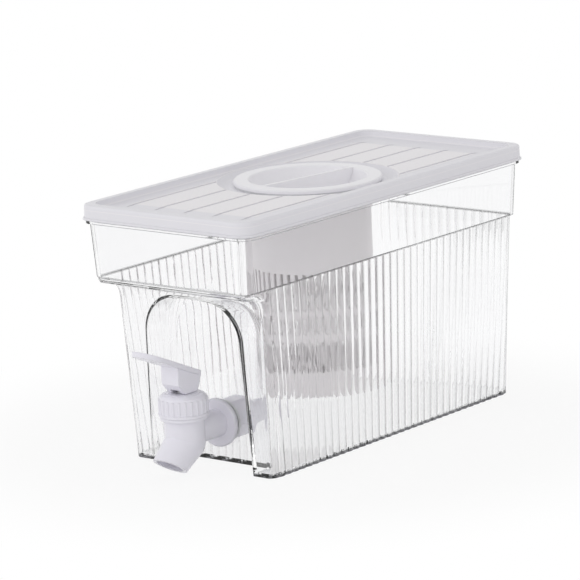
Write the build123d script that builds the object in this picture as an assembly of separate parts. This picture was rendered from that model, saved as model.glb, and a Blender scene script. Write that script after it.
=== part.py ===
from build123d import *
import math
import os

# Fridge water jug with a tap: a clear moulded jar, a white tray lid with a round filler cap,
# a strainer basket that hangs in the filler neck, and a self-closing tap in a front recess.
# Millimetres, +Z up. The tap faces -Y. Sizes are worked out about the middle of the jar, and
# every piece is moved at the end so that the origin lies under the middle of the whole jug.

# Overall sizes
lid_width = 140.0
lid_length = 298.0
overrun = 5.0  # how far a cutter runs past the face it cuts

# Jar
jar_wall = 2.4
jar_floor = 2.6
rim_height = 159.9  # top of the jar's flange
rim_thickness = 2.0
rim_inset = 1.7  # from the lid's lip to the flange's edge
rim_corner = 10.5
band_inset = 4.4  # from the lid's lip to the clear band under it
band_draft = 2.9  # degrees
band_corner = 7.0
step_height = 122.7  # where the sides step in below the band
step_depth = 1.1
side_draft = 2.2  # degrees
side_corner = 6.0
ledge_height = 118.4  # underside of the front ledge
ledge_lip_radius = 4.0
ledge_cove = 12.0
cove_angles = (0, 16, 32, 48, 64, 80)
lip_angles = (8, 36, 64, 90)
front_foot_setback = 30.4  # from the lid's front edge to the foot of the front wall
front_lean = 2.6  # degrees
front_edge_radius = 5.0  # upright edges of the front wall
flute_pitch = 7.2
flute_depth = 0.8
flute_front_margin = 6.0  # plain wall between the front edge and the first flute

# Recess for the tap
recess_half_width = 41.2
recess_spring_half_width = 38.0
recess_spring_height = 84.5
recess_shoulder_radius = 26.0
recess_crown_rise = 0.5
recess_back_setback = 49.8  # from the lid's front edge to the recess's back wall
recess_back_radius = 5.0

# Lid
lid_seat_gap = 0.3
lip_height = 1.5
lip_overhang = 1.0
lip_bevel = 0.7
skirt_height = 8.3
lid_corner = 12.0
skirt_draft = 1.0  # degrees
skirt_wall = 2.0
rim_top_width = 6.0
rim_edge_radius = 1.6
tray_depth = 4.1  # down to the channel round the raised field
tray_cove = 2.4
tray_draft = 11.0  # degrees
lid_floor = 2.2
field_height = 0.8
field_half_width = 47.8
field_half_length = 116.0
field_bevel = 9.0  # level length of the field's sloping edge
groove_pitch = 23.4
groove_count = 5
groove_width = 2.0
locating_rib_depth = 5.2
locating_rib_wall = 1.8
locating_rib_clearance = 0.5

# Filler neck in the lid
moat_radius = 59.6
moat_lip_width = 0.5
moat_depth = 3.2
seat_radius = 50.4
seat_drop = 1.9  # from the channel's floor
neck_bore_radius = 44.6
neck_wall = 2.2
neck_depth = 9.0  # from the seat down to the basket's ledge
ledge_bore_radius = 41.0
neck_ledge = 2.0

# Filler cap
cap_radius = 48.6
cap_flange = 2.6
cap_edge = 0.8
cap_seal_thickness = 1.2
cap_seal_width = 2.8
cap_plug_clearance = 0.7
cap_plug_wall = 2.0
cap_plug_depth = 6.2
bowl_radius = 38.4
bowl_depth = 14.6
bowl_floor_radius = 24.0
bowl_waist_radius = 33.6
bowl_waist_depth = 9.6
bowl_wall = 1.8
grip_thickness = 3.2
grip_root_thickness = 4.6
grip_turn = -9.4  # degrees that the closed cap's grip stops past the centre line

# Strainer basket
basket_top_radius = 39.8
basket_foot_radius = 38.8
basket_foot_height = 29.2
basket_wall = 1.8
basket_base = 2.0
basket_rim_radius = 44.2
basket_rim_thickness = 1.6
slot_count = 48
slot_width = 2.2
slot_row_shares = [(0.129, 0.283), (0.323, 0.406), (0.446, 0.631)]  # foot and head of each row
base_hole_radius = 2.0
base_ring_radii = (12.0, 24.0)
base_ring_counts = (6, 12)

# Tap
tap_stand_off = 35.3  # from the recess's back wall to the tap's upright axis
tap_height = 26.0  # axis of the shank
barrel_radius = 12.9
barrel_neck_radius = 12.2
barrel_bore_radius = 10.0
barrel_top = 45.8
seat_height = 19.4
seat_thickness = 2.4
seat_bore_radius = 6.5
elbow_height = 20.8
spout_angle = 37.0  # degrees below level
mouth_angle = 57.0  # degrees below level that the spout's mouth faces
spout_length = 20.3  # from the elbow's middle to the middle of the mouth
spout_end_radius = 11.0
spout_bore_radius = 8.6
spout_bore_start = 1.0
neck_radius = 9.0
flange_radius = 15.8
flange_thickness = 2.7
flange_edge = 0.8
shank_radius = 7.6
shank_length = 39.0  # past the outer face of the wall
shank_bore_radius = 5.0
washer_clearance = 0.3
outer_washer_radius = 14.6
outer_washer_thickness = 1.8
inner_washer_radius = 14.0
inner_washer_thickness = 2.0
tap_hole_clearance = 0.6
lock_nut_flats = 24.4
lock_nut_corner_radius = 13.2
lock_nut_length = 17.8
thread_clearance = 0.08

# Bonnet nut on top of the barrel
bonnet_foot = 36.4
bonnet_band_height = 2.0  # plain band under the bead
bonnet_bead_radius = 16.1
bonnet_bead_height = 2.4
bonnet_radius = 15.3
bonnet_shoulder = 49.8
bonnet_dome = 52.7
bonnet_roof = 47.3  # inside
bonnet_disc_radius = 11.0
bonnet_top = 53.2
bonnet_dome_shares = [(0.10, 0.42), (0.36, 0.76), (0.68, 0.96)]  # inwards and upwards
bonnet_bore_clearance = 0.3
bonnet_foot_gap = 0.3
grip_rib_count = 24
grip_rib_radius = 0.9
grip_rib_proud = 0.6

# Stem, seat cup and lever
stem_radius = 3.3
stem_clearance = 0.08
stem_foot = 21.4
trunnion_radius = 2.0
trunnion_clearance = 0.06
trunnion_length = 12.0
trunnion_end_gap = 0.2
pivot_height = 61.5
cup_wall = 1.4
cup_plug_radius = 8.4
cup_plug_height = 3.4
cup_boss_radius = 5.6
cup_boss_height = 5.6
cup_shoulder_radius = 9.2
hub_gap = 0.4  # from the bonnet's top to the lever's hub
hub_half_width = 7.0
hub_front = 11.5
hub_rear = 10.3
hub_front_corner = 60.0  # height where the front edge turns in to the foot
hub_rear_corner = 57.1
hub_rear_low = 8.1
hub_foot_front = 5.5
hub_foot_rear = 6.0
cheek_wall = 3.3
slot_rear_clearance = 0.5
paddle_thickness = 3.2
paddle_angle = 23.1  # degrees above level
paddle_rise = 8.8  # top of the paddle above the pivot, at the tap's axis
paddle_tip_radius = 10.0
paddle_reach = 41.0
paddle_edge = 0.6

# Places worked out from those sizes
half_width = lid_width / 2
half_length = lid_length / 2
lid_foot = rim_height + lid_seat_gap
jug_height = lid_foot + lip_height + skirt_height
tray_floor = jug_height - tray_depth
field_top = tray_floor + field_height
lid_underside = tray_floor - lid_floor
seat_top = tray_floor - seat_drop
cap_underside = seat_top + cap_seal_thickness
cap_top = cap_underside + cap_flange
basket_seat = seat_top - neck_depth + neck_ledge
basket_top = basket_seat + basket_rim_thickness
front_foot_y = front_foot_setback - half_length
recess_back_y = recess_back_setback - half_length
tap_y = recess_back_y - tap_stand_off
flange_back_y = recess_back_y - outer_washer_thickness
hub_foot = bonnet_top + hub_gap
lever_tip_y = tap_y - paddle_reach
middle_y = (half_length + lever_tip_y) / 2  # middle of the whole jug, tap included


def save(name, shape):
    """Writes one piece, moved so that the origin lies under the jug's middle."""
    moved = Pos(0, -middle_y, 0) * shape
    moved.label = name
    export_step(moved, f"parts/{name}.step")


def plan(half_x, front, rear, corner, z):
    """A level rounded rectangle between two places along the jug."""
    return Pos(0, (front + rear) / 2, z) * RectangleRounded(2 * half_x, rear - front, corner)


def around(half_x, half_y, corner, z):
    return plan(half_x, -half_y, half_y, corner, z)


def slope(degrees, rise):
    return math.tan(math.radians(degrees)) * rise


def turned(points):
    """A full turn about the Z axis of an outline given as radius and height."""
    outline = make_face(Plane.XZ * Polyline(*points, close=True))
    return revolve(outline, Axis.Z)


def along_y(radius, start, end, height):
    """A round bar along the jug, from start to end."""
    bar = Cylinder(radius, end - start)
    return Pos(0, (start + end) / 2, height) * Rot(90, 0, 0) * bar


def upright(radius, foot, top):
    return Pos(0, 0, (foot + top) / 2) * Cylinder(radius, top - foot)


# Jar body


def ledge_profile(inset, foot):
    """Front of the jar from its foot to the step, as pairs of y and z: wall, cove and ledge lip."""
    cove = ledge_cove + inset
    lip = ledge_lip_radius - inset
    cove_z = ledge_height - ledge_cove
    cove_y = front_foot_y - slope(front_lean, cove_z) - ledge_cove
    lip_z = ledge_height + ledge_lip_radius
    lip_y = lower_sizes(0, step_height)[1] + ledge_lip_radius
    points = [(front_foot_y + inset - slope(front_lean, foot), foot)]
    for angle in cove_angles:
        turn = math.radians(angle)
        points.append((cove_y + cove * math.cos(turn), cove_z + cove * math.sin(turn)))
    for angle in lip_angles:
        turn = math.radians(angle)
        points.append((lip_y - lip * math.sin(turn), lip_z - lip * math.cos(turn)))
    points.append((lip_y - lip, step_height))
    return points


def front_block(inset, foot):
    """The smooth front of the lower body, with rounded upright edges that flare into the ledge."""
    plans = []
    for front, z in ledge_profile(inset, foot):
        half_x = lower_sizes(flute_depth + inset, z)[0]
        rear = front_foot_y + flute_front_margin + ledge_cove
        plans.append(plan(half_x, front, rear, front_edge_radius - inset, z))
    return loft(plans, ruled=True)


def fluted_plan(half_x, front, rear, first, corner, z):
    """The lower body's outline, with rounded flutes side by side on both sides and the rear."""
    x = half_x - flute_depth
    y = rear - flute_depth
    cut = corner * (1 - math.sqrt(0.5))
    side_count = round((rear - corner - front_foot_y) / flute_pitch)
    rear_count = round(2 * (half_x - corner) / flute_pitch)

    def flutes(start, end, count, outward):
        step = (Vector(end) - Vector(start)) / count
        corners = [Vector(start) + step * place for place in range(count + 1)]
        bulge = Vector(outward) * flute_depth
        return [
            ThreePointArc(near, (near + far) / 2 + bulge, far)
            for near, far in zip(corners, corners[1:])
        ]

    edges = [Line((-x, front), (x, front)), Line((x, front), (x, first))]
    edges += flutes((x, first), (x, y - corner), side_count, (1, 0))
    edges.append(ThreePointArc((x, y - corner), (x - cut, y - cut), (x - corner, y)))
    edges += flutes((x - corner, y), (corner - x, y), rear_count, (0, 1))
    edges.append(ThreePointArc((corner - x, y), (cut - x, y - cut), (-x, y - corner)))
    edges += flutes((-x, y - corner), (-x, first), side_count, (-1, 0))
    edges.append(Line((-x, first), (-x, front)))
    return Pos(0, 0, z) * make_face(edges)


def band_form(inset, top):
    """The smooth upper band, from the step up."""
    top_x = half_width - band_inset - inset
    top_y = half_length - band_inset - inset
    corner = band_corner - inset
    inward = slope(band_draft, rim_height - step_height)
    outward = slope(band_draft, top - rim_height)
    foot_plan = around(top_x - inward, top_y - inward, corner, step_height)
    return loft([foot_plan, around(top_x + outward, top_y + outward, corner, top)], ruled=True)


def lower_sizes(inset, z):
    """Half width, front and rear of the lower body at a height."""
    band_in = slope(band_draft, rim_height - step_height)
    drop = step_height - z
    half_x = half_width - band_inset - band_in - step_depth - inset - slope(side_draft, drop)
    front = band_inset + band_in + inset - half_length + slope(band_draft, drop)
    rear = half_length - band_inset - band_in - step_depth - inset - slope(side_draft, drop)
    return half_x, front, rear


def jar_outside():
    plans = []
    for z in (0, step_height):
        half_x, front, rear = lower_sizes(0, z)
        first = front_foot_y - slope(front_lean, z) + flute_front_margin
        front = first - flute_front_margin / 3
        plans.append(fluted_plan(half_x, front, rear, first, side_corner, z))
    return band_form(0, rim_height) + loft(plans, ruled=True) + front_block(0, 0)


def jar_hollow():
    plans = []
    for z in (jar_floor, step_height):
        half_x, front, rear = lower_sizes(jar_wall + flute_depth, z)
        front = front_foot_y + flute_front_margin
        plans.append(plan(half_x, front, rear, side_corner - jar_wall, z))
    band = band_form(jar_wall, rim_height + overrun)
    return band + loft(plans, ruled=True) + front_block(jar_wall, jar_floor)


def recess(inset):
    """The arched recess as a solid, grown by inset on the sides, top and back."""
    foot_x = recess_half_width + inset
    spring_x = recess_spring_half_width + inset
    radius = recess_shoulder_radius + inset
    centre_x = spring_x - radius
    spring = recess_spring_height
    foot_z = -overrun
    foot_x += (foot_x - spring_x) * overrun / spring
    diagonal = radius * math.sqrt(0.5)
    shoulder = spring + radius
    outline = make_face(
        [
            Line((-spring_x, spring), (-foot_x, foot_z)),
            Line((-foot_x, foot_z), (foot_x, foot_z)),
            Line((foot_x, foot_z), (spring_x, spring)),
            ThreePointArc(
                (spring_x, spring),
                (centre_x + diagonal, spring + diagonal),
                (centre_x, shoulder),
            ),
            ThreePointArc(
                (centre_x, shoulder),
                (0, shoulder + recess_crown_rise),
                (-centre_x, shoulder),
            ),
            ThreePointArc(
                (-centre_x, shoulder),
                (-centre_x - diagonal, spring + diagonal),
                (-spring_x, spring),
            ),
        ]
    )
    back = recess_back_y + inset
    depth = back + half_length + overrun
    block = extrude(Plane.XZ.offset(-back) * outline, depth)
    rear_edges = block.faces().sort_by(Axis.Y)[-1].edges()
    return fillet(rear_edges.filter_by(lambda e: e.center().Z > 0), recess_back_radius + inset)


def jar_body():
    outside = jar_outside()
    flange_x = half_width - rim_inset
    flange_y = half_length - rim_inset
    flange_foot = rim_height - rim_thickness
    outside += extrude(around(flange_x, flange_y, rim_corner, flange_foot), rim_thickness)
    hollow = jar_hollow()
    hole = along_y(
        shank_radius + tap_hole_clearance,
        recess_back_y - overrun,
        recess_back_y + jar_wall + overrun,
        tap_height,
    )
    return outside - recess(0) - (hollow - recess(jar_wall)) - hole


# Lid


def raised_field():
    """The five-grooved field in the tray, with edges that slope down to the channel round it."""
    foot_x = field_half_width + field_bevel
    foot_y = field_half_length + field_bevel
    field = loft(
        [
            around(foot_x, foot_y, field_bevel, tray_floor),
            around(field_half_width, field_half_length, field_height, field_top),
        ],
        ruled=True,
    )
    groove = Box(groove_width, 2 * (foot_y + overrun), 2 * field_height)
    middle = (groove_count - 1) / 2
    for number in range(groove_count):
        field -= Pos((number - middle) * groove_pitch, 0, field_top) * groove
    return field


def lid():
    lip = extrude(around(half_width, half_length, lid_corner, lid_foot), lip_height)
    lip = chamfer(lip.faces().sort_by(Axis.Z)[-1].edges(), lip_bevel)
    lip_top = lid_foot + lip_height
    skirt_x = half_width - lip_overhang
    skirt_y = half_length - lip_overhang
    skirt_in = slope(skirt_draft, jug_height - lip_top)
    corner = lid_corner - lip_overhang
    skirt = loft(
        [
            around(skirt_x, skirt_y, corner, lip_top),
            around(skirt_x - skirt_in, skirt_y - skirt_in, corner, jug_height),
        ],
        ruled=True,
    )
    skirt = fillet(skirt.faces().sort_by(Axis.Z)[-1].edges(), rim_edge_radius)
    tray_x = skirt_x - skirt_in - rim_top_width
    tray_y = skirt_y - skirt_in - rim_top_width
    tray_in = slope(tray_draft, tray_depth)
    tray_corner = corner - tray_cove
    tray_out = slope(tray_draft, overrun)
    tray = loft(
        [
            around(tray_x - tray_in, tray_y - tray_in, tray_corner, tray_floor),
            around(tray_x + tray_out, tray_y + tray_out, tray_corner, jug_height + overrun),
        ],
        ruled=True,
    )
    tray = fillet(tray.faces().sort_by(Axis.Z)[0].edges(), tray_cove)
    body = lip + skirt - tray
    body += raised_field()
    # the space under the floor, and the channel inside the rim
    inner_x = skirt_x - skirt_in - skirt_wall
    inner_y = skirt_y - skirt_in - skirt_wall
    under = around(inner_x, inner_y, corner - skirt_wall, lid_foot - overrun)
    body -= extrude(under, lid_underside - lid_foot + overrun)
    channel = around(inner_x, inner_y, corner - skirt_wall, lid_foot)
    channel -= around(tray_x + skirt_wall, tray_y + skirt_wall, tray_corner, lid_foot)
    body -= extrude(channel, jug_height - skirt_wall - lid_foot)
    rib_x = half_width - band_inset - jar_wall - locating_rib_clearance
    rib_y = half_length - band_inset - jar_wall - locating_rib_clearance
    rib_corner = band_corner - jar_wall
    rib_foot = lid_underside - locating_rib_depth
    rib_wall = locating_rib_wall
    rib = around(rib_x, rib_y, rib_corner, rib_foot)
    rib -= around(rib_x - rib_wall, rib_y - rib_wall, rib_corner - rib_wall, rib_foot)
    body += extrude(rib, locating_rib_depth + lid_floor / 2)
    # the filler neck, with the moat that runs round it
    body -= upright(moat_radius, lid_underside - overrun, jug_height)
    return body + filler_neck()


def filler_neck():
    moat_floor = field_top - moat_depth
    neck_foot = moat_floor - lid_floor
    ledge = basket_seat - neck_ledge
    outer = neck_bore_radius + neck_wall
    lip_inner = moat_radius - moat_lip_width
    moat = ThreePointArc(
        (lip_inner, field_top),
        ((lip_inner + seat_radius) / 2, moat_floor),
        (seat_radius, seat_top),
    )
    rest = Polyline(
        (seat_radius, seat_top),
        (neck_bore_radius, seat_top),
        (neck_bore_radius, basket_seat),
        (ledge_bore_radius, basket_seat),
        (ledge_bore_radius, ledge),
        (outer, ledge),
        (outer, neck_foot),
        (moat_radius, neck_foot),
        (moat_radius, field_top),
        (lip_inner, field_top),
    )
    return revolve(Plane.XZ * make_face([moat, *rest.edges()]), Axis.Z)


# Filler cap, its seal and the strainer basket


def filler_cap():
    plug_radius = neck_bore_radius - cap_plug_clearance
    plug_inner = plug_radius - cap_plug_wall
    plug_foot = cap_underside - cap_plug_depth
    bowl_floor = cap_top - bowl_depth
    waist = cap_top - bowl_waist_depth
    wall = bowl_wall
    edge = cap_edge
    inner = [
        Line((0, bowl_floor), (bowl_floor_radius, bowl_floor)),
        ThreePointArc(
            (bowl_floor_radius, bowl_floor),
            (bowl_waist_radius, waist),
            (bowl_radius, cap_top - edge),
        ),
    ]
    outer = [
        Line((0, bowl_floor - wall), (bowl_floor_radius, bowl_floor - wall)),
        ThreePointArc(
            (bowl_floor_radius, bowl_floor - wall),
            (bowl_waist_radius + wall, waist - wall),
            (bowl_radius + wall, cap_underside),
        ),
    ]
    rim = Polyline(
        (bowl_radius + wall, cap_underside),
        (plug_inner, cap_underside),
        (plug_inner, plug_foot),
        (plug_radius, plug_foot),
        (plug_radius, cap_underside),
        (cap_radius, cap_underside),
        (cap_radius, cap_top - edge),
        (cap_radius - edge, cap_top),
        (bowl_radius + edge, cap_top),
        (bowl_radius, cap_top - edge),
    )
    axis_line = Line((0, bowl_floor), (0, bowl_floor - wall))
    outline = make_face([*inner, *outer, *rim.edges(), axis_line])
    shell = revolve(Plane.XZ * outline, Axis.Z)
    root = Pos(0, 0, bowl_floor - wall / 2) * Rectangle(grip_root_thickness, 2 * bowl_radius)
    head = Pos(0, 0, cap_top) * Rectangle(grip_thickness, 2 * (bowl_radius + edge))
    bowl_space = revolve(
        Plane.XZ
        * make_face(
            [
                *inner,
                Line((bowl_radius, cap_top - edge), (bowl_radius + edge, cap_top)),
                Line((bowl_radius + edge, cap_top), (0, cap_top)),
                Line((0, cap_top), (0, bowl_floor)),
            ]
        ),
        Axis.Z,
    )
    grip = loft([root, head], ruled=True) & bowl_space
    return Rot(0, 0, grip_turn) * (shell + grip)


def cap_seal():
    outer = neck_bore_radius + cap_seal_width + (cap_radius - neck_bore_radius - cap_seal_width) / 2
    return upright(outer, seat_top, cap_underside) - upright(
        outer - cap_seal_width, seat_top, cap_underside
    )


def strainer_basket():
    foot = basket_foot_height
    wall = basket_wall
    tube = turned(
        [
            (0, foot),
            (basket_foot_radius, foot),
            (basket_top_radius, basket_seat),
            (basket_rim_radius, basket_seat),
            (basket_rim_radius, basket_top),
            (basket_top_radius - wall, basket_top),
            (basket_foot_radius - wall, foot + basket_base),
            (0, foot + basket_base),
        ]
    )
    height = basket_top - foot
    spoke = Rectangle(2 * (basket_top_radius + overrun), slot_width)
    star = Sketch() + [Rot(0, 0, turn * 360 / slot_count) * spoke for turn in range(slot_count // 2)]
    star -= Circle(basket_foot_radius - 2 * wall)
    for low_share, high_share in slot_row_shares:
        row = extrude(Pos(0, 0, foot + low_share * height) * star, (high_share - low_share) * height)
        tube -= row
    holes = Sketch() + Circle(base_hole_radius)
    for ring_radius, count in zip(base_ring_radii, base_ring_counts):
        ring = PolarLocations(ring_radius, count)
        holes += [place * Circle(base_hole_radius) for place in ring]
    return tube - extrude(Pos(0, 0, foot - overrun) * holes, basket_base + 2 * overrun)


# Tap


def tap_body():
    """Barrel, spout, neck, flange and shank, moulded in one."""
    flange_front_y = flange_back_y - flange_thickness
    shank_end_y = recess_back_y + shank_length
    reach = spout_length + spout_end_radius
    end_radius = barrel_radius - (barrel_radius - spout_end_radius) * reach / spout_length
    spout = Cone(
        barrel_radius, end_radius, reach, align=(Align.CENTER, Align.CENTER, Align.MIN)
    )
    down = Pos(0, tap_y, elbow_height) * Rot(90 + spout_angle, 0, 0)
    # what lies past the mouth's plane is cut away
    past = Box(2 * jug_height, 2 * jug_height, reach, align=(Align.CENTER, Align.CENTER, Align.MIN))
    past = down * Pos(0, 0, spout_length) * Rot(mouth_angle - spout_angle, 0, 0) * past
    body = Pos(0, tap_y, 0) * upright(barrel_radius, elbow_height, bonnet_foot - bonnet_foot_gap)
    body += Pos(0, tap_y, 0) * upright(barrel_neck_radius, elbow_height, barrel_top)
    body += Pos(0, tap_y, elbow_height) * Sphere(barrel_radius)
    body += down * spout - past
    body += along_y(neck_radius, tap_y, flange_back_y, tap_height)
    disc = along_y(flange_radius, flange_front_y, flange_back_y, tap_height)
    body += chamfer(disc.faces().sort_by(Axis.Y)[0].edges(), flange_edge)
    body += along_y(shank_radius, flange_back_y, shank_end_y, tap_height)
    body -= Pos(0, tap_y, 0) * upright(barrel_bore_radius, seat_height, barrel_top + overrun)
    passage_foot = seat_height - seat_thickness - cap_edge
    body -= Pos(0, tap_y, 0) * upright(seat_bore_radius, passage_foot, seat_height + cap_edge)
    bore = Cylinder(
        spout_bore_radius,
        reach + overrun - spout_bore_start,
        align=(Align.CENTER, Align.CENTER, Align.MIN),
    )
    under_seat = 2 * seat_height
    below = Box(under_seat, 2 * under_seat, under_seat)
    room = Pos(0, tap_y, seat_height - seat_thickness - under_seat / 2) * below
    body -= (down * Pos(0, 0, spout_bore_start) * bore) & room
    body -= along_y(shank_bore_radius, tap_y, shank_end_y + overrun, tap_height)
    return body


def tap_washer(radius, start, thickness):
    bore = shank_radius + washer_clearance
    ring = along_y(radius, start, start + thickness, tap_height)
    return ring - along_y(bore, start - overrun, start + thickness + overrun, tap_height)


def tap_lock_nut():
    start = recess_back_y + jar_wall + inner_washer_thickness
    end = start + lock_nut_length
    side = lock_nut_flats / 2
    hexagon = RegularPolygon(side, 6, major_radius=False)
    prism = extrude(Plane.XZ.offset(-end) * Pos(0, tap_height) * hexagon, lock_nut_length)
    prism &= along_y(lock_nut_corner_radius, start, end, tap_height)
    bore = shank_radius + thread_clearance
    return prism - along_y(bore, start - overrun, end + overrun, tap_height)


def bonnet_nut():
    bore = barrel_neck_radius + bonnet_bore_clearance
    bead_foot = bonnet_foot + bonnet_band_height
    bead_top = bead_foot + bonnet_bead_height
    bead_step = bonnet_bead_radius - bonnet_radius
    rise = bonnet_dome - bonnet_shoulder
    run = bonnet_radius - bonnet_disc_radius
    stem_hole = stem_radius + stem_clearance
    dome = [
        (bonnet_radius - run * inward, bonnet_shoulder + rise * upward)
        for inward, upward in bonnet_dome_shares
    ]
    body = turned(
        [
            (bore, bonnet_foot),
            (bonnet_radius, bonnet_foot),
            (bonnet_radius, bead_foot),
            (bonnet_bead_radius, bead_foot + bead_step / 2),
            (bonnet_bead_radius, bead_top - bead_step / 2),
            (bonnet_radius, bead_top),
            (bonnet_radius, bonnet_shoulder),
            *dome,
            (bonnet_disc_radius, bonnet_dome),
            (bonnet_disc_radius, bonnet_top),
            (stem_hole, bonnet_top),
            (stem_hole, bonnet_roof),
            (bore, bonnet_roof),
        ]
    )
    reach = bonnet_radius + grip_rib_proud - grip_rib_radius
    rib = Pos(reach, 0, 0) * upright(grip_rib_radius, bead_top - bead_step, bonnet_shoulder)
    body += [Rot(0, 0, turn * 360 / grip_rib_count) * rib for turn in range(grip_rib_count)]
    return Pos(0, tap_y, 0) * body


def valve_cup():
    """Silicone cup: its rim is clamped under the bonnet nut and its plug closes the seat."""
    rim_foot = barrel_top
    shoulder = rim_foot - cup_wall
    plug_top = seat_height + cup_plug_height
    boss_top = stem_foot + cup_boss_height
    inner_plug = cup_plug_radius - cup_wall
    cup = turned(
        [
            (0, seat_height),
            (cup_plug_radius, seat_height),
            (cup_plug_radius, plug_top),
            (cup_shoulder_radius, shoulder),
            (cup_shoulder_radius, rim_foot),
            (barrel_neck_radius, rim_foot),
            (barrel_neck_radius, bonnet_roof),
            (cup_shoulder_radius - cup_wall, bonnet_roof),
            (inner_plug, plug_top),
            (cup_boss_radius, plug_top),
            (cup_boss_radius, boss_top),
            (stem_radius, boss_top),
            (stem_radius, stem_foot),
            (0, stem_foot),
        ]
    )
    return Pos(0, tap_y, 0) * cup


def valve_stem():
    """Round stem whose rounded head carries the lever's cross pin."""
    rod = upright(stem_radius, stem_foot, pivot_height)
    rod += Pos(0, 0, pivot_height) * Sphere(stem_radius)
    pin = Rot(0, 90, 0) * Cylinder(trunnion_radius, trunnion_length)
    return Pos(0, tap_y, 0) * (rod + Pos(0, 0, pivot_height) * pin)


def paddle():
    """The sloping plate that is pressed, wider at its rounded tip."""
    steep = math.tan(math.radians(paddle_angle))
    plate = paddle_thickness / math.cos(math.radians(paddle_angle))
    tip = -paddle_reach
    far = tip - overrun
    near_z = pivot_height + paddle_rise - steep * hub_rear
    far_z = pivot_height + paddle_rise - steep * far
    side = Polyline(
        (far, far_z), (hub_rear, near_z), (hub_rear, near_z - plate), (far, far_z - plate), close=True
    )
    block = extrude(Plane.YZ * make_face(side), 2 * paddle_tip_radius, both=True)
    centre = tip + paddle_tip_radius
    outline = make_face(
        [
            Line((-hub_half_width, hub_rear), (hub_half_width, hub_rear)),
            Line((hub_half_width, hub_rear), (paddle_tip_radius, centre)),
            ThreePointArc((paddle_tip_radius, centre), (0, tip), (-paddle_tip_radius, centre)),
            Line((-paddle_tip_radius, centre), (-hub_half_width, hub_rear)),
        ]
    )
    return block & extrude(outline, 2 * jug_height)


def tap_lever():
    """Paddle on a forked hub that rocks on the bonnet nut and lifts the stem."""
    steep = math.tan(math.radians(paddle_angle))
    foot = hub_foot
    mid_plate = pivot_height + paddle_rise - paddle_thickness / 2
    hub_side = Polyline(
        (hub_rear, mid_plate - steep * hub_rear),
        (hub_rear_low, hub_rear_corner),
        (hub_foot_rear, foot),
        (-hub_foot_front, foot),
        (-hub_front, hub_front_corner),
        (-hub_front, mid_plate + steep * hub_front),
        close=True,
    )
    hub = extrude(Plane.YZ * make_face(hub_side), hub_half_width, both=True)
    slot_rear = stem_radius + slot_rear_clearance
    slot_depth = hub_front + overrun + slot_rear
    slot_height = paddle_rise + hub_front + pivot_height - foot
    slot = Box(2 * (hub_half_width - cheek_wall), slot_depth, 2 * slot_height)
    hub -= Pos(0, slot_rear - slot_depth / 2, foot) * slot
    socket_radius = trunnion_radius + trunnion_clearance
    socket = Cylinder(socket_radius, trunnion_length + 2 * trunnion_end_gap)
    body = hub + paddle() - Pos(0, 0, pivot_height) * Rot(0, 90, 0) * socket
    return Pos(0, tap_y, 0) * body


pieces = {
    "jar_body": jar_body,
    "lid": lid,
    "filler_cap": filler_cap,
    "cap_seal": cap_seal,
    "strainer_basket": strainer_basket,
    "tap_body": tap_body,
    "tap_lock_nut": tap_lock_nut,
    "bonnet_nut": bonnet_nut,
    "valve_cup": valve_cup,
    "valve_stem": valve_stem,
    "tap_lever": tap_lever,
}

os.makedirs("parts", exist_ok=True)
for name, make in pieces.items():
    save(name, make())
save(
    "tap_outer_washer",
    tap_washer(outer_washer_radius, flange_back_y, outer_washer_thickness),
)
save(
    "tap_inner_washer",
    tap_washer(inner_washer_radius, recess_back_y + jar_wall, inner_washer_thickness),
)
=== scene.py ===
import math

import bmesh
import bpy
from mathutils import Matrix, Vector


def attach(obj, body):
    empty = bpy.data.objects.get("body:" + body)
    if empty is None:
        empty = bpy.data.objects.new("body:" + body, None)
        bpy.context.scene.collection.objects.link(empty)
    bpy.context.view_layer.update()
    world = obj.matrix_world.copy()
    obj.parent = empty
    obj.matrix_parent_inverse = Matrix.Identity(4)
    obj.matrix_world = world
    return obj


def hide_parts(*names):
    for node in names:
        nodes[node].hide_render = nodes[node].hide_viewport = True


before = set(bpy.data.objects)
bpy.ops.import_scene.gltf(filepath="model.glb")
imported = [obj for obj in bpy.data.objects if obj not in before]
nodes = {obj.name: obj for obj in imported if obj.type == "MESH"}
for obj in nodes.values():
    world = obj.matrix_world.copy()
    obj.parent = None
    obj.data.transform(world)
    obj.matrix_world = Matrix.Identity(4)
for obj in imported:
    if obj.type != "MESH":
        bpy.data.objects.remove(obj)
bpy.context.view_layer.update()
scene = bpy.context.scene

# Jar: one injection moulding in clear plastic. The band under the rim is smooth, the walls below
# it are fluted, and the tap stands in an arched recess. The mould leaves rounded edges there.

FLUTE_DEPTH = 0.0008  # height of the CAD's flutes
FLUTE_CREST = 0.0006  # height of the finished flutes, which have flatter crests and steeper roots
FLUTE_POWER = 3.0
BAND_FOOT = 0.12275
SIDE_LEAN = math.tan(math.radians(2.2))
FRONT_LEAN = math.tan(math.radians(2.6))
SIDE_FOOT_X = 0.057102
FIRST_FLUTE_Y = -0.09935
REAR_CORNER = 0.0055
RECESS_HALF_WIDTH = 0.046
RECESS_FRONT_Y = -0.095
RECESS_TOP = 0.116
ARCH_EDGE_ROUND = 0.0045
ARCH_INNER_ROUND = 0.0055
SHARP_ARCH = math.radians(50)
FLAT = math.radians(0.05)
JAR_SMOOTH = math.radians(18)
NEAR = 0.00002  # a point this close to a surface counts as on it
WELD = 0.000002  # points closer than this are joined


def select_only(thing):
    """Selects one object and makes it the active one."""
    bpy.ops.object.select_all(action="DESELECT")
    thing.select_set(True)
    bpy.context.view_layer.objects.active = thing


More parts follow.
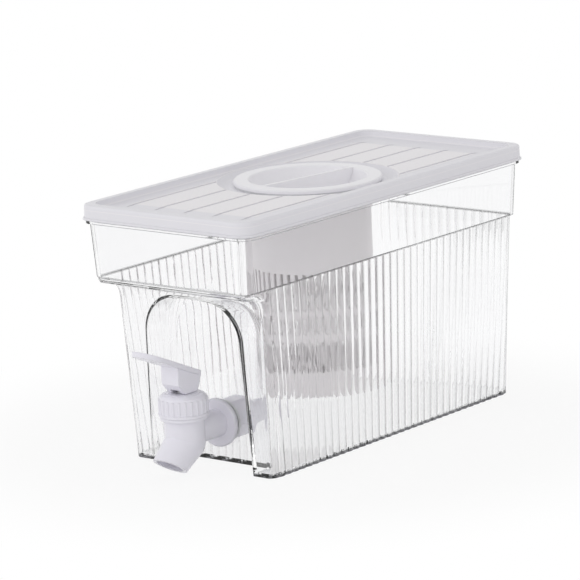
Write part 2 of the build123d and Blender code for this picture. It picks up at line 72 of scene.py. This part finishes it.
def flute_offset(point, rear_foot_y):
    """How far a point on the fluted walls stands out from the flutes' roots, and on which axis."""
    side = SIDE_FOOT_X + SIDE_LEAN * point.z
    rear = rear_foot_y + SIDE_LEAN * point.z
    first = FIRST_FLUTE_Y - FRONT_LEAN * point.z
    if point.z > BAND_FOOT:
        return None
    out = abs(point.x) - side
    if -NEAR < out < FLUTE_DEPTH + NEAR and first - NEAR < point.y < rear - REAR_CORNER:
        return 0, out
    out = point.y - rear
    if -NEAR < out < FLUTE_DEPTH + NEAR and abs(point.x) < side - REAR_CORNER:
        return 1, out
    return None


def finish_flutes(mesh):
    """Gives the flutes their moulded profile and marks the roots between them."""
    rear_foot_y = max(v.co.y for v in mesh.vertices if v.co.z < NEAR) - FLUTE_DEPTH
    root = mesh.attributes.new("flute_root", "FLOAT", "POINT")
    for vertex in mesh.vertices:
        found = flute_offset(vertex.co, rear_foot_y)
        if not found:
            continue
        axis, out = found
        root.data[vertex.index].value = 1.0 if out < NEAR else 0.0
        away = math.sqrt(max(0.0, 1 - out / FLUTE_DEPTH))
        new_out = FLUTE_CREST * (1 - away ** FLUTE_POWER)
        vertex.co[axis] += math.copysign(new_out - out, vertex.co[axis])


def round_arch_edge(mesh, convex, radius):
    """Bevels the recess's edge on the front wall, outside or inside the jar."""
    bpy.ops.object.mode_set(mode="EDIT")
    bpy.ops.mesh.select_mode(type="EDGE")
    bpy.ops.mesh.select_all(action="DESELECT")
    shape = bmesh.from_edit_mesh(mesh)
    for edge in shape.edges:
        ends = [vertex.co for vertex in edge.verts]
        at_recess = all(
            abs(p.x) < RECESS_HALF_WIDTH and p.y < RECESS_FRONT_Y and p.z < RECESS_TOP for p in ends
        )
        if at_recess and edge.is_convex == convex:
            edge.select = edge.calc_face_angle(0) > SHARP_ARCH
    shape.select_flush_mode()
    bmesh.update_edit_mesh(mesh)
    bpy.ops.mesh.bevel(offset=radius, segments=6, profile=0.5, clamp_overlap=True)
    bpy.ops.object.mode_set(mode="OBJECT")


def merge_points(thing):
    """Joins points that lie closer than WELD."""
    select_only(thing)
    bpy.ops.object.mode_set(mode="EDIT")
    bpy.ops.mesh.select_all(action="SELECT")
    bpy.ops.mesh.remove_doubles(threshold=WELD)
    bpy.ops.object.mode_set(mode="OBJECT")


def merged_copy(name, node_name):
    """A copy of a CAD node's mesh, with its faces joined and its flat areas made whole."""
    thing = bpy.data.objects.new(name, nodes[node_name].data.copy())
    scene.collection.objects.link(thing)
    select_only(thing)
    bpy.ops.mesh.customdata_custom_splitnormals_clear()
    merge_points(thing)
    bpy.ops.object.mode_set(mode="EDIT")
    bpy.ops.mesh.select_all(action="SELECT")
    bpy.ops.mesh.dissolve_limited(angle_limit=FLAT)
    bpy.ops.object.mode_set(mode="OBJECT")
    return thing


clear_jar = merged_copy("clear_jar", "jar_body")
finish_flutes(clear_jar.data)
round_arch_edge(clear_jar.data, True, ARCH_EDGE_ROUND)
round_arch_edge(clear_jar.data, False, ARCH_INNER_ROUND)
merge_points(clear_jar)
bpy.ops.object.shade_smooth_by_angle(angle=JAR_SMOOTH)
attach(clear_jar, "jug")
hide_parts("jar_body")

# The jar's plastic is colourless. Painted shade stands in for the dark lines that refraction and
# internal reflection make: the colour is darker along the flutes' roots, round the foot, at the
# band's step, under the front ledge and where a wall is seen edge on.
# The painted lines lie where a ray enters the plastic, not where it leaves. Lamp light goes through
# with a small loss.

CLEAR = (0.985, 0.986, 0.99)
PAINTED_SHADE_DARK = (0.03, 0.03, 0.035)
LAMP_WAY = (0.94, 0.94, 0.945)
CLEAR_IOR = 1.5
ROOT_SHADE = 0.6
FOOT_SHADE = 1.0
STEP_SHADE = 0.6
LEDGE_SHADE = 0.75
OUTLINE_SHADE = 0.85
ROOT_START, ROOT_END = 0.1, 0.98
FOOT_START, FOOT_END = 0.0030, 0.0016
STEP_START, STEP_END = 0.0011, 0.0004
LEDGE_START, LEDGE_END = 0.1206, 0.1194
LEDGE_BACK, LEDGE_FRONT = -0.1195, -0.1225
EDGE_ON_START, EDGE_ON_END = 0.5, 0.88
INNER_BOUNCES = 48  # times that light is passed on inside the clear walls
GLOSSY_BOUNCES = 12


def new_material(name):
    """A material with its node tree and its Principled shader."""
    material = bpy.data.materials.new(name)
    material.use_nodes = True
    tree = material.node_tree
    return material, tree, tree.nodes["Principled BSDF"]


def add_node(tree, kind, **inputs):
    """A node with its inputs set by name, where an underscore stands for a space."""
    node = tree.nodes.new(kind)
    for key, value in inputs.items():
        node.inputs[key.replace("_", " ")].default_value = value
    return node


def add_math(tree, operation, *values):
    """A Math node whose inputs are numbers or other nodes' outputs."""
    node = tree.nodes.new("ShaderNodeMath")
    node.operation = operation
    for socket, value in zip(node.inputs, values):
        if isinstance(value, bpy.types.NodeSocket):
            tree.links.new(value, socket)
        else:
            socket.default_value = value
    return node.outputs[0]


def mix_colours(tree, share, first, second):
    """A Mix node between two colours, each a plain one or another node's output."""
    node = tree.nodes.new("ShaderNodeMix")
    node.data_type = "RGBA"
    tree.links.new(share, node.inputs[0])
    for socket, colour in ((node.inputs[6], first), (node.inputs[7], second)):
        if isinstance(colour, bpy.types.NodeSocket):
            tree.links.new(colour, socket)
        else:
            socket.default_value = (*colour, 1)
    return node.outputs[2]


def mix_shaders(tree, share, first, second):
    """A Mix Shader node between two shaders' outputs, as one output."""
    node = tree.nodes.new("ShaderNodeMixShader")
    tree.links.new(share, node.inputs["Fac"])
    tree.links.new(first, node.inputs[1])
    tree.links.new(second, node.inputs[2])
    return node.outputs["Shader"]


def soft_step(tree, value, start, end, top, bottom=0.0):
    """A smooth rise from bottom at start to top at end."""
    node = add_node(
        tree, "ShaderNodeMapRange", From_Min=start, From_Max=end, To_Min=bottom, To_Max=top
    )
    node.interpolation_type = "SMOOTHSTEP"
    tree.links.new(value, node.inputs["Value"])
    return node.outputs["Result"]


def object_place(tree):
    """The point on the object, as separate X, Y and Z outputs."""
    coords = tree.nodes.new("ShaderNodeTexCoord")
    split = tree.nodes.new("ShaderNodeSeparateXYZ")
    tree.links.new(coords.outputs["Object"], split.inputs[0])
    return split.outputs


def distance_from(tree, value, level):
    """How far a value is from a level, either way."""
    return add_math(tree, "ABSOLUTE", add_math(tree, "SUBTRACT", value, level))


def for_rays(tree, *kinds):
    """1 for rays of the kinds named, and 0 for all others."""
    path = tree.nodes.new("ShaderNodeLightPath")
    share = path.outputs[kinds[0]]
    for kind in kinds[1:]:
        share = add_math(tree, "MAXIMUM", share, path.outputs[kind])
    return share


def clear_plastic():
    """The jar's material, with painted shade lines standing in for its refraction's dark lines."""
    material, tree, shader = new_material("clear_plastic")
    links = tree.links
    root = tree.nodes.new("ShaderNodeAttribute")
    root.attribute_name = "flute_root"
    place = object_place(tree)
    low = soft_step(tree, place["Z"], LEDGE_START, LEDGE_END, LEDGE_SHADE)
    ahead = soft_step(tree, place["Y"], LEDGE_BACK, LEDGE_FRONT, 1.0)
    grazing = add_node(tree, "ShaderNodeLayerWeight", Blend=0.5)
    edge_on = soft_step(tree, grazing.outputs["Facing"], EDGE_ON_START, EDGE_ON_END, OUTLINE_SHADE)
    surface = tree.nodes.new("ShaderNodeNewGeometry")
    normal = tree.nodes.new("ShaderNodeSeparateXYZ")
    links.new(surface.outputs["Normal"], normal.inputs[0])
    upright = add_math(tree, "SUBTRACT", 1.0, add_math(tree, "ABSOLUTE", normal.outputs["Z"]))
    from_step = distance_from(tree, place["Z"], BAND_FOOT)
    # Painted shade: each mask below darkens the base colour where refraction would show a dark
    # line.
    painted_shade = soft_step(tree, root.outputs["Fac"], ROOT_START, ROOT_END, ROOT_SHADE)
    for line in (
        soft_step(tree, place["Z"], FOOT_START, FOOT_END, FOOT_SHADE),
        soft_step(tree, from_step, STEP_START, STEP_END, STEP_SHADE),
        add_math(tree, "MULTIPLY", low, ahead),
        add_math(tree, "MULTIPLY", edge_on, upright),
    ):
        painted_shade = add_math(tree, "MAXIMUM", painted_shade, line)
    front = add_math(tree, "SUBTRACT", 1.0, surface.outputs["Backfacing"])
    colour = mix_colours(tree, add_math(tree, "MULTIPLY", painted_shade, front), CLEAR, PAINTED_SHADE_DARK)
    links.new(colour, shader.inputs["Base Color"])
    shader.inputs["Roughness"].default_value = 0.0
    shader.inputs["IOR"].default_value = CLEAR_IOR
    shader.inputs["Transmission Weight"].default_value = 1.0
    lamp_way = add_node(tree, "ShaderNodeBsdfTransparent", Color=(*LAMP_WAY, 1))
    to_lamp = for_rays(tree, "Is Shadow Ray")
    mixed = mix_shaders(tree, to_lamp, shader.outputs["BSDF"], lamp_way.outputs["BSDF"])
    links.new(mixed, tree.nodes["Material Output"].inputs["Surface"])
    return material


clear_jar.data.materials.clear()
clear_jar.data.materials.append(clear_plastic())
scene.cycles.max_bounces = INNER_BOUNCES
scene.cycles.transmission_bounces = INNER_BOUNCES
scene.cycles.glossy_bounces = GLOSSY_BOUNCES
scene.cycles.transparent_max_bounces = INNER_BOUNCES

# Lid and filler cap: white moulded plastic with a satin skin. The tool's fine grain is left on
# it, its edges are slightly rounded, and the shade drifts a little where the plastic flowed. The
# top of the lid's raised field has a painted sheen: a lighter, warmer colour than its border.

FIELD_LEVEL = 0.1667
SHEEN_START, SHEEN_END = 0.00025, 0.00005  # distance from the level at which the painted sheen begins
SHEEN_SHARE = 0.6
SHEEN_WHITE = (0.93, 0.90, 0.91)
WHITE_IOR = 1.49


def moulded_skin():
    """Node group for moulded plastic: a fine grain, a drifting roughness and a drifting shade."""
    group = bpy.data.node_groups.new("moulded_skin", "ShaderNodeTree")
    sides, links = group.interface, group.links
    for name, value in (("Grain Size", 0.0006), ("Roughness", 0.35), ("Spread", 0.04)):
        socket = sides.new_socket(name=name, in_out="INPUT", socket_type="NodeSocketFloat")
        socket.default_value = value
    for name in ("Height", "Roughness", "Shade"):
        sides.new_socket(name=name, in_out="OUTPUT", socket_type="NodeSocketFloat")
    start = group.nodes.new("NodeGroupInput")
    end = group.nodes.new("NodeGroupOutput")
    coords = group.nodes.new("ShaderNodeTexCoord")
    grain = add_node(group, "ShaderNodeTexNoise", Detail=3.0)
    links.new(coords.outputs["Object"], grain.inputs["Vector"])
    grain_scale = add_math(group, "DIVIDE", 1.0, start.outputs["Grain Size"])
    links.new(grain_scale, grain.inputs["Scale"])
    flow = add_node(group, "ShaderNodeTexNoise", Scale=22.0, Detail=2.0, Distortion=0.6)
    links.new(coords.outputs["Object"], flow.inputs["Vector"])
    drift = add_math(group, "SUBTRACT", flow.outputs["Fac"], 0.5)
    width = add_math(group, "MULTIPLY", start.outputs["Spread"], 2.0)
    spread = add_math(group, "MULTIPLY", drift, width)
    rough = add_math(group, "ADD", start.outputs["Roughness"], spread)
    shade = add_math(group, "MULTIPLY", flow.outputs["Fac"], 0.5)
    links.new(grain.outputs["Fac"], end.inputs["Height"])
    links.new(rough, end.inputs["Roughness"])
    links.new(shade, end.inputs["Shade"])
    return group


skin_group = moulded_skin()


def moulded_plastic(
    name, light, dark, roughness, grain_size, grain_height, edge_round, sheen_level=None
):
    """Opaque plastic with grain, drifting shade, rounded edges and an optional painted sheen."""
    material, tree, shader = new_material(name)
    links = tree.links
    skin = tree.nodes.new("ShaderNodeGroup")
    skin.node_tree = skin_group
    skin.inputs["Grain Size"].default_value = grain_size
    skin.inputs["Roughness"].default_value = roughness
    colour = mix_colours(tree, skin.outputs["Shade"], light, dark)
    if sheen_level is not None:
        # Painted sheen: the top of the raised field is coloured lighter and warmer than its border.
        off_level = distance_from(tree, object_place(tree)["Z"], sheen_level)
        painted_sheen = soft_step(tree, off_level, SHEEN_START, SHEEN_END, SHEEN_SHARE)
        colour = mix_colours(tree, painted_sheen, colour, SHEEN_WHITE)
    links.new(colour, shader.inputs["Base Color"])
    links.new(skin.outputs["Roughness"], shader.inputs["Roughness"])
    edges = add_node(tree, "ShaderNodeBevel", Radius=edge_round)
    bump = add_node(tree, "ShaderNodeBump", Strength=0.2, Distance=grain_height)
    links.new(skin.outputs["Height"], bump.inputs["Height"])
    links.new(edges.outputs["Normal"], bump.inputs["Normal"])
    links.new(bump.outputs["Normal"], shader.inputs["Normal"])
    shader.inputs["IOR"].default_value = WHITE_IOR
    return material


def dress(material, *names):
    """Gives CAD nodes one material."""
    for name in names:
        slots = nodes[name].data.materials
        slots.clear()
        slots.append(material)


lid_white = moulded_plastic(
    "lid_white",
    light=(0.82, 0.81, 0.85),
    dark=(0.77, 0.76, 0.80),
    roughness=0.38,
    grain_size=0.0006,
    grain_height=0.00003,
    edge_round=0.0006,
    sheen_level=FIELD_LEVEL,
)
dress(lid_white, "lid")
cap_white = moulded_plastic(
    "cap_white",
    light=(0.91, 0.90, 0.93),
    dark=(0.87, 0.86, 0.89),
    roughness=0.34,
    grain_size=0.0006,
    grain_height=0.00003,
    edge_round=0.0006,
)
dress(cap_white, "filler_cap")

# Strainer basket: one thin white moulding that hangs in the lid's neck. Its colour is a little
# warmer than the lid's, and its skin is finer.

strainer_white = moulded_plastic(
    "strainer_white",
    light=(0.93, 0.895, 0.91),
    dark=(0.89, 0.855, 0.87),
    roughness=0.36,
    grain_size=0.0006,
    grain_height=0.00002,
    edge_round=0.0004,
)
dress(strainer_white, "strainer_basket")

# Tap: body, bonnet nut and lock nut are glossy white mouldings with a cool tint, screwed
# together. The stem inside is a matt one.

tap_white = moulded_plastic(
    "tap_white",
    light=(0.90, 0.885, 0.955),
    dark=(0.86, 0.845, 0.915),
    roughness=0.24,
    grain_size=0.0005,
    grain_height=0.00002,
    edge_round=0.0007,
)
dress(tap_white, "tap_body", "tap_lock_nut", "bonnet_nut")
stem_white = moulded_plastic(
    "stem_white",
    light=(0.82, 0.82, 0.84),
    dark=(0.78, 0.78, 0.80),
    roughness=0.5,
    grain_size=0.0004,
    grain_height=0.00003,
    edge_round=0.0003,
)
dress(stem_white, "valve_stem")

# Lever: paddle and hub are one glossy white moulding that rocks on the bonnet nut. The hub's
# front is closed in front of the stem, so a wall is joined into the CAD's fork.

WALL_MIDDLE = (0, -0.1308, 0.0661)
WALL_SIZE = (0.0078, 0.0039, 0.0122)
WALL_TOP_DROP = 0.0016  # follows the paddle's slope
WALL_FOOT_DROP = 0.00416  # follows the hub's slanted foot
LEVER_SMOOTH = math.radians(30)

bpy.ops.object.select_all(action="DESELECT")
bpy.ops.mesh.primitive_cube_add(size=1, location=WALL_MIDDLE)
hub_front = bpy.context.object
hub_front.name = "hub_front"
hub_front.scale = WALL_SIZE
bpy.ops.object.transform_apply(location=True, scale=True)


def lower_rear_corners(thing, top, drop):
    """Lowers the wall's two rear corners at its top or at its foot."""
    bpy.ops.object.mode_set(mode="EDIT")
    bpy.ops.mesh.select_mode(type="VERT")
    bpy.ops.mesh.select_all(action="DESELECT")
    shape = bmesh.from_edit_mesh(thing.data)
    for vertex in shape.verts:
        at_height = (vertex.co.z > WALL_MIDDLE[2]) == top
        vertex.select = vertex.co.y > WALL_MIDDLE[1] and at_height
    shape.select_flush_mode()
    bmesh.update_edit_mesh(thing.data)
    bpy.ops.transform.translate(value=(0, 0, -drop))
    bpy.ops.object.mode_set(mode="OBJECT")


lower_rear_corners(hub_front, top=False, drop=WALL_FOOT_DROP)
lower_rear_corners(hub_front, top=True, drop=WALL_TOP_DROP)

lever = merged_copy("closed_lever", "tap_lever")
join = lever.modifiers.new("join", "BOOLEAN")
join.operation = "UNION"
join.solver = "EXACT"
join.object = hub_front
bpy.ops.object.modifier_apply(modifier="join")
bpy.data.objects.remove(hub_front)
merge_points(lever)
bpy.ops.object.shade_smooth_by_angle(angle=LEVER_SMOOTH)
lever.data.materials.clear()
lever.data.materials.append(tap_white)
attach(lever, "lever")
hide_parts("tap_lever")

# Seals: soft silicone with a dull skin that lets some light in. Three are flat rings, and one is
# the cup that closes the tap's seat.

SILICONE_REACH = 0.002  # how far light goes into it

silicone = moulded_plastic(
    "soft_silicone",
    light=(0.78, 0.79, 0.80),
    dark=(0.70, 0.71, 0.73),
    roughness=0.6,
    grain_size=0.0004,
    grain_height=0.00003,
    edge_round=0.0004,
)
silicone_shader = silicone.node_tree.nodes["Principled BSDF"]
silicone_shader.inputs["Subsurface Weight"].default_value = 0.5
silicone_shader.inputs["Subsurface Radius"].default_value = (SILICONE_REACH,) * 3
silicone_shader.inputs["Subsurface Scale"].default_value = 1.0
dress(silicone, "cap_seal", "tap_outer_washer", "tap_inner_washer", "valve_cup")

# Studio: a pale floor that fades into white, an even light room and one soft lamp at the front
# left. Plastic and clear walls see eight white screens round the jug, with greyer gaps between.

BEHIND = math.radians(129.2)  # direction in which the camera looks
SCREENS = 8.0
GAP_GREY = 0.82
GAP_END, SCREEN_START = -0.9, 0.2
DIMMEST, BRIGHTEST = 0.64, 1.06
BRIGHT_SIDE = Vector((0.05, -0.55, -0.55)).normalized()  # in front of the tap and below


def studio_world():
    """White for the camera, screens for shine and clear walls, and an even room for the rest."""
    world = bpy.data.worlds.new("studio")
    scene.world = world
    world.use_nodes = True
    tree = world.node_tree
    links = tree.links
    coords = tree.nodes.new("ShaderNodeTexCoord")
    split = tree.nodes.new("ShaderNodeSeparateXYZ")
    links.new(coords.outputs["Generated"], split.inputs[0])
    turn = add_math(tree, "ARCTAN2", split.outputs["Y"], split.outputs["X"])
    from_behind = add_math(tree, "SUBTRACT", turn, BEHIND)
    wave = add_math(tree, "COSINE", add_math(tree, "MULTIPLY", from_behind, SCREENS))
    screens = soft_step(tree, wave, GAP_END, SCREEN_START, 1.0, GAP_GREY)
    around = tree.nodes["Background"]
    links.new(screens, around.inputs["Color"])
    lean = tree.nodes.new("ShaderNodeVectorMath")
    lean.operation = "DOT_PRODUCT"
    lean.inputs[1].default_value = BRIGHT_SIDE
    links.new(coords.outputs["Generated"], lean.inputs[0])
    rise = add_node(
        tree, "ShaderNodeMapRange", From_Min=-1.0, To_Min=DIMMEST, To_Max=BRIGHTEST
    )
    links.new(lean.outputs["Value"], rise.inputs["Value"])
    room = tree.nodes.new("ShaderNodeBackground")
    links.new(rise.outputs["Result"], room.inputs["Color"])
    white = add_node(tree, "ShaderNodeBackground", Color=(1, 1, 1, 1), Strength=1.0)
    from_plastic = for_rays(tree, "Is Glossy Ray", "Is Transmission Ray")
    inner = mix_shaders(tree, from_plastic, room.outputs[0], around.outputs[0])
    outer = mix_shaders(tree, for_rays(tree, "Is Camera Ray"), inner, white.outputs[0])
    links.new(outer, tree.nodes["World Output"].inputs["Surface"])


studio_world()


def soft_lamp(name, place, aim, size, power):
    """A round area lamp that shines on a point."""
    data = bpy.data.lights.new(name, "AREA")
    data.shape = "DISK"
    data.size = size
    data.energy = power
    lamp = bpy.data.objects.new(name, data)
    scene.collection.objects.link(lamp)
    lamp.location = place
    lamp.rotation_euler = (Vector(aim) - Vector(place)).to_track_quat("-Z", "Y").to_euler()


soft_lamp("key_lamp", place=(-1.1, -1.7, 0.9), aim=(0, 0, 0.1), size=0.9, power=3.0)

FLOOR_RADIUS = 0.6
FLOOR_LEVEL = -0.0002
FADE_START, FADE_END = 0.16, 0.30
NEAR_GLOW = 0.88


def pale_floor():
    """Pale and matt near the jug, where its faint shadow lies, and as white as the back beyond."""
    material, tree, shader = new_material("pale_floor")
    links = tree.links
    coords = tree.nodes.new("ShaderNodeTexCoord")
    far = tree.nodes.new("ShaderNodeVectorMath")
    far.operation = "LENGTH"
    links.new(coords.outputs["Object"], far.inputs[0])
    fade = soft_step(tree, far.outputs["Value"], FADE_START, FADE_END, 1.0, NEAR_GLOW)
    seen = for_rays(tree, "Is Camera Ray", "Is Glossy Ray", "Is Transmission Ray")
    share = add_math(tree, "MULTIPLY", seen, fade)
    shader.inputs["Base Color"].default_value = (0.86, 0.86, 0.86, 1)
    shader.inputs["Roughness"].default_value = 0.9
    shader.inputs["Specular IOR Level"].default_value = 0.0
    glow = add_node(tree, "ShaderNodeEmission", Strength=1.0)
    mixed = mix_shaders(tree, share, shader.outputs[0], glow.outputs[0])
    links.new(mixed, tree.nodes["Material Output"].inputs["Surface"])
    return material


bpy.ops.object.select_all(action="DESELECT")
bpy.ops.mesh.primitive_circle_add(
    vertices=96, radius=FLOOR_RADIUS, fill_type="NGON", location=(0, 0, FLOOR_LEVEL)
)
floor = bpy.context.object
floor.name = "floor"
bpy.ops.object.transform_apply(location=True)
floor.data.materials.append(pale_floor())

# Camera: where the photograph was taken from, worked out from the edges of the lid, the cap and
# the jar. The lens is long, and its small shift is there because the photograph is a crop.

CAMERA_PLACE = (1.5233, -1.86975, 0.6263)
CAMERA_FORWARD = (-0.6173, 0.7563, -0.2167)
CAMERA_RIGHT = (0.7802, 0.6240, -0.0443)

camera_data = bpy.data.cameras.new("photo_camera")
camera = bpy.data.objects.new("photo_camera", camera_data)
scene.collection.objects.link(camera)
scene.camera = camera
forward = Vector(CAMERA_FORWARD).normalized()
right = Vector(CAMERA_RIGHT).normalized()
up = right.cross(forward).normalized()
turned = Matrix((right, up, -forward)).transposed().to_4x4()
camera.matrix_world = Matrix.Translation(CAMERA_PLACE) @ turned
camera_data.sensor_width = 36.0
camera_data.lens = 235.3
camera_data.shift_x = -0.0121
camera_data.shift_y = 0.0101
camera_data.clip_start = 0.1

scene.view_settings.view_transform = "Standard"
